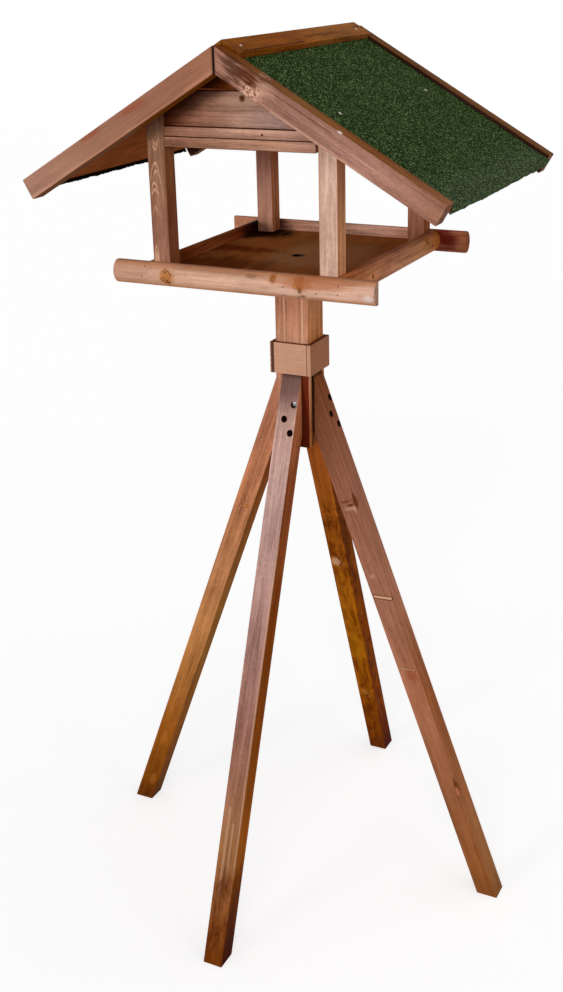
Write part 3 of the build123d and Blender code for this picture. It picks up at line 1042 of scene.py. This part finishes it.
def felt_sheet(side, lip, seed):
    """The felt of one slope. Each skin's profile runs down the slope, turns over the eave on
    a quarter circle and hangs down square to the slope. It is carried along Y, where the
    hanging edge wanders and the skin lifts by sums of sines with random phases."""
    rng = np.random.default_rng(seed)
    y = np.linspace(*(corner[1] / MM for corner in corners(f"{side}_roof_panel")), 260)
    near_eave = np.linspace(EAVE_RUN - 12, EAVE_RUN, 5)
    slope = np.concatenate((np.linspace(0.0, EAVE_RUN - 14, 26), near_eave))
    turn = np.radians(np.linspace(15, 90, 6))
    drop = np.linspace(0.25, 1, 4)

    def ragged(strength, count):
        waves = np.arange(1, count + 1)
        phase = rng.uniform(0, 2 * np.pi, count)
        weight = rng.uniform(0.3, 1.0, count) / np.sqrt(waves)
        turns = np.outer(y - y[0], waves) * (2 * np.pi / (y[-1] - y[0]))
        return strength * np.sin(turns + phase) @ weight

    edge = lip + ragged(0.55, 70)
    lift = ragged(0.1, 12)

    def skin(offset, lifts):
        flat, fold, fall = np.full(slope.size, offset), offset * np.cos(turn), np.zeros(drop.size)
        run = (slope, EAVE_RUN + offset * np.sin(turn), EAVE_RUN + offset + fall)
        run = np.tile(np.concatenate(run), (y.size, 1))
        level = np.tile(FELT_LOW + np.concatenate((flat, fold, fall)), (y.size, 1))
        level[:, -4:] -= edge[:, None] * drop
        run[:, -4:] += lift[:, None] * 4 * drop - (1 - np.cos(drop)) * 0.8
        level[:, : slope.size] += lift[:, None] * np.clip((slope - 60) / 250, 0, 1) * lifts
        run[:, 0] = 0.25 / cos(PITCH) - level[:, 0] * np.tan(PITCH)
        x = side_of[side] * (run * cos(PITCH) + level * sin(PITCH))
        z = ridge - run * sin(PITCH) + level * cos(PITCH)
        return np.stack((x, np.broadcast_to(y[:, None], x.shape), z), axis=-1)

    outer = skin(FELT_HIGH - FELT_LOW, True)
    inner = skin(0.05, False)
    loop = np.concatenate((outer, inner[:, ::-1]), axis=1)
    rows, columns = loop.shape[:2]
    faces = grid_faces(rows, columns, wrap=True)
    half = outer.shape[1]
    for row in (0, rows - 1):
        base = row * columns
        for i in range(half - 1):
            quad = [base + i, base + i + 1, base + columns - 2 - i, base + columns - 1 - i]
            faces.append(quad if row == 0 else quad[::-1])
    return face_out(mesh_of(f"{side}_felt_sheet", loop.reshape(-1, 3), faces))


for number, (side, lip) in enumerate({"left": 12.0, "right": 8.6}.items()):
    sheet = felt_sheet(side, lip, 40 + number)
    finish = felt_finish(f"green_felt_{side}", side_of[side])
    add_piece(sheet, finish, "house", [f"{side}_roof_felt"])


# ---- fixings


def metal_finish(name, pale, dark, metallic=1, shade_from=None, scale=900):
    """Steel: a fine spangle of two shades. Past an origin along an axis, if asked, it is
    painted near-black: painted shade deep in a bore.
    """
    f = Finish(name, Metallic=metallic)
    spangle = f.noise(f.place, scale).step(0.4, 0.6)
    color = f.mix(spangle, pale, dark)
    if shade_from is not None:
        color = f.mix(f.reach(*shade_from).step(0, 4), color, CRACK_AND_SHADE_BLACK)
    return f.finish(color, 0.34 + spangle * 0.2, spangle, 0.00003)


def polar(profile, spokes):
    """A surface of revolution about Z through (radius, height) pairs, as a grid of points."""
    angle = np.linspace(0, 2 * np.pi, spokes, endpoint=False)
    radius, height = np.asarray(profile, float).T
    x = radius[:, None] * np.cos(angle)
    y = radius[:, None] * np.sin(angle)
    return np.stack((x, y, np.broadcast_to(height[:, None], x.shape)), axis=-1)


def placed(points, place, direction):
    """Points whose +Z is turned to a direction, then moved to a place."""
    turn = Vector((0, 0, 1)).rotation_difference(Vector(direction)).to_matrix()
    return points @ np.array(turn).T + np.asarray(place)


def joined(name, shapes):
    """Closed grids, each with a point at both ends, as one mesh."""
    points, faces, start = [], [], 0
    for shape in shapes:
        rows, columns = shape.shape[:2]
        points.append(shape.reshape(-1, 3))
        faces += [[start + i for i in face] for face in grid_faces(rows, columns, wrap=True)]
        start += rows * columns
    return face_out(mesh_of(name, np.concatenate(points), faces), merge=True)


def screw_shape(head, shank, length, rings=14):
    """A countersunk screw: a domed head of some rings of points with a cross recess, sunk
    where a point lies in either of two crossed arms, then the cone and a tapering shank."""
    top = np.linspace(0, head / 2, rings)
    profile = [(r, 0.35 * (1 - (2 * r / head) ** 2)) for r in top]
    profile[-1] = (head / 2, 0)
    cone = (head - shank) / 2
    profile += [(head / 2, -0.3), (shank / 2, -0.3 - cone), (shank / 2, -length + 6)]
    profile += [(shank / 4, -length + 2), (0, -length)]
    points = polar(profile, 48)
    x, y = points[:rings, :, 0], points[:rings, :, 1]
    arm, reach = head * 0.075, head * 0.3
    sunk = (np.abs(x) < arm) & (np.abs(y) < reach) | (np.abs(y) < arm) & (np.abs(x) < reach)
    points[:rings, :, 2] -= np.where(sunk, head * 0.18, 0)
    return points


def nail(place, direction, radius):
    """A nail head: a low dome whose height falls off with the square of the radius."""
    radii = np.linspace(0, radius, 6)
    profile = [(r, 0.5 * (1 - 0.8 * (r / radius) ** 2)) for r in radii]
    profile += [(radius * 0.97, -0.2), (radius * 0.4, -0.8), (0, -0.9)]
    return placed(polar(profile, 16), place, direction)


screws = []
for angle in (0, 90, 180, 270):
    turn = np.array(Matrix.Rotation(radians(angle), 3, "Z"))
    for drop, offset in SCREW_SPOTS:
        spot = turn @ (screw_face, offset, leg_top - drop)
        screws.append(placed(screw_shape(8.5, 4.5, 40), spot, turn @ (1, 0, 0)))
# The right leg's screws lie past the pole face along X, and are painted near-black: painted shade
# deep in their bores.
at_pole = (RIGHT, (pole_face, 0, 0))
zinc = metal_finish("zinc_plate", srgb(176, 174, 172), srgb(70, 66, 66), shade_from=at_pole)
add_piece(joined("zinc_leg_screws", screws), zinc, "stand", ["leg_screws"])

tray_top = corners("tray_floor")[1][2] / MM
tray_screw = placed(screw_shape(12, 6, 70), (0, 0, tray_top - 2.5), (0, 0, 1))
# The tray screw: zinc spangled near-black and near-white, which is painted shade in its hole and
# painted glints.
zinc_shade_and_glints = metal_finish("zinc_painted_shade_and_glints", srgb(210, 205, 198), srgb(16, 12, 10), 0.4, scale=420)
add_piece(joined("zinc_tray_screw", [tray_screw]), zinc_shade_and_glints, "house", ["tray_screw"])

nails = []
cap_nail, felt_nail = (7, CAP_TOP, 2.2), (161.5, FELT_HIGH, 2.7)
for side in (-1, 1):
    for y, (run, level, radius) in (
        (-192, cap_nail), (187, cap_nail), (-162, felt_nail), (155, felt_nail)
    ):
        nails.append(nail(slope_point(side, run, level, y), off_slope(side), radius))
# The nail heads are near-white and not metallic: a painted highlight.
pale = metal_finish("nails_painted_highlight", (0.98, 0.9, 0.8), (0.85, 0.76, 0.66), metallic=0)
add_piece(joined("roof_nails", nails), pale, "house")


RAIL_FLAT = 6


def rail_front(x, height):
    """A point on the half-round front of the front rail and the way it looks there, from the
    circle through the edges of its flats and its crown."""
    low, high = (corner / MM for corner in corners("front_rail"))
    half = (high[2] - low[2]) / 2
    bulge = high[1] - low[1] - RAIL_FLAT
    radius = (half**2 + bulge**2) / (2 * bulge)
    centre = np.array((x, low[1] + radius, (low[2] + high[2]) / 2))
    up = height - centre[2]
    out = np.array((0, -((radius**2 - up**2) ** 0.5), up)) / radius
    return centre + out * radius, out


brads = []
for x, height in (
    (71.5, 1079.6), (70.4, 1066.8), (121.2, 1074), (154.4, 1086.6), (154.3, 1075.5),
    (-155, 1090.7), (-158.6, 1076.5),
):
    spot, out = rail_front(x, height)
    brads.append(nail(spot - out * 0.25, out, 1.3))
rusty = metal_finish("rusty_brads", srgb(96, 34, 14), srgb(40, 14, 6), metallic=0)
add_piece(joined("rail_brads", brads), rusty, "house")


# ---- studio


def plain(name, color, glow):
    """A plain floor that the camera and reflections see brighter by a glow of its own."""
    f = Finish(name)
    matt = f.node("ShaderNodeBsdfDiffuse", {"Color": color}).outputs[0]
    light = f.node("ShaderNodeEmission", {"Strength": f.seen() * glow}).outputs[0]
    both = f.node("ShaderNodeAddShader", {0: matt, 1: light}).outputs[0]
    f.feed(f.output, "Surface", both)
    return f.material


FAR = 9000
floor_corners = [(-FAR, -FAR, 0), (FAR, -FAR, 0), (FAR, FAR, 0), (-FAR, FAR, 0)]
floor = put("floor", mesh_of("floor", floor_corners, [[0, 1, 2, 3]]))
floor.data.materials.append(plain("pale_floor", (0.8, 0.8, 0.8), 0.63))

world = bpy.data.worlds.new("studio")
bpy.context.scene.world = world
world.use_nodes = True
AMBIENT = 0.24
sky = Tree(world.node_tree)
glow = sky.seen() * (1 - AMBIENT) + AMBIENT
background = sky.node("ShaderNodeBackground", {"Color": (1, 1, 1), "Strength": glow})
sky.node("ShaderNodeOutputWorld", {"Surface": background.outputs[0]})

# Soft suns: the way to each, its strength and its width in degrees.
for name, towards, strength, width in (
    ("key_from_front", (-0.33, -0.94, 0.06), 1.55, 16),
    ("fill_under_roof", (0.3, -0.87, 0.38), 0.6, 30),
    ("fill_from_above", (0.5, 0.15, 0.85), 0.34, 70),
    ("fill_from_right", (0.94, -0.34, 0.0), 0.62, 30),
):
    lamp = bpy.data.lights.new(name, "SUN")
    lamp.energy = strength
    lamp.angle = radians(width)
    put(name, lamp).rotation_euler = Vector(towards).to_track_quat("Z", "Y").to_euler()

# The camera stands in front and to the right, above the roof, and leans a little.
azimuth, elevation, roll = radians(27.07), radians(22.32), radians(-1.46)
away = np.array((sin(azimuth) * cos(elevation), -cos(azimuth) * cos(elevation), sin(elevation)))
level_right = np.array((cos(azimuth), sin(azimuth), 0.0))
level_up = np.cross(away, level_right)
right = level_right * cos(roll) + level_up * sin(roll)
up = -level_right * sin(roll) + level_up * cos(roll)
place = np.array((0, 0, 0.7)) - 0.03473 * level_right - 0.01683 * level_up + 2.15986 * away
turn = np.eye(4)
turn[:3] = np.stack((right, up, away, place), axis=1)
lens = bpy.data.cameras.new("camera")
lens.lens = 47.78
lens.sensor_width = 36.0
camera = put("camera", lens)
camera.matrix_world = Matrix(turn.tolist())
bpy.context.scene.camera = camera
bpy.context.scene.view_settings.view_transform = "Standard"
